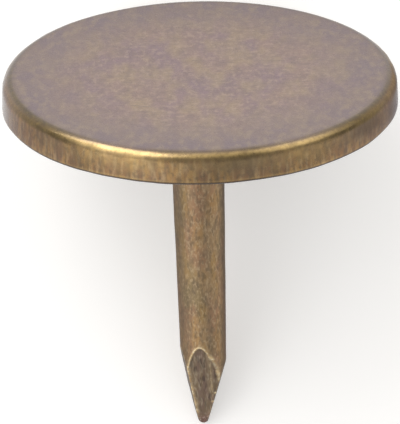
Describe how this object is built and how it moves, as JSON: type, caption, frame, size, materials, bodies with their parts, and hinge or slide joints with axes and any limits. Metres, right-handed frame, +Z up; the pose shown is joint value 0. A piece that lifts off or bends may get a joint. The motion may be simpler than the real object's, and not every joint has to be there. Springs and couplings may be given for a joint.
{
  "type": "tapestry nail",
  "caption": "Flat-headed tapestry nail: a round pressed cap with a turned-down rim, and a short tapered shank with a cut point, in aged brass, lying on its side.",
  "frame": {"origin": "on the surface that the nail lies on, under the middle of its bounding box", "axes": "+Z up from that surface; the head lies towards +Y and the point towards -Y, with the shank sloping down to its tip; +X across the head, to the right when the nail is seen from the point's side with its top face up the picture"},
  "size_m": [0.016, 0.0172, 0.0144],
  "materials": {
    "cap_brass": "antique brown patina with a matt top, rubbed bright on the bend of the rim",
    "shank_brass": "antique brown patina over drawn and cut metal"
  },
  "bodies": {
    "root": {"head_cap": "cap_brass", "pointed_shank": "shank_brass"}
  },
  "joints": []
}
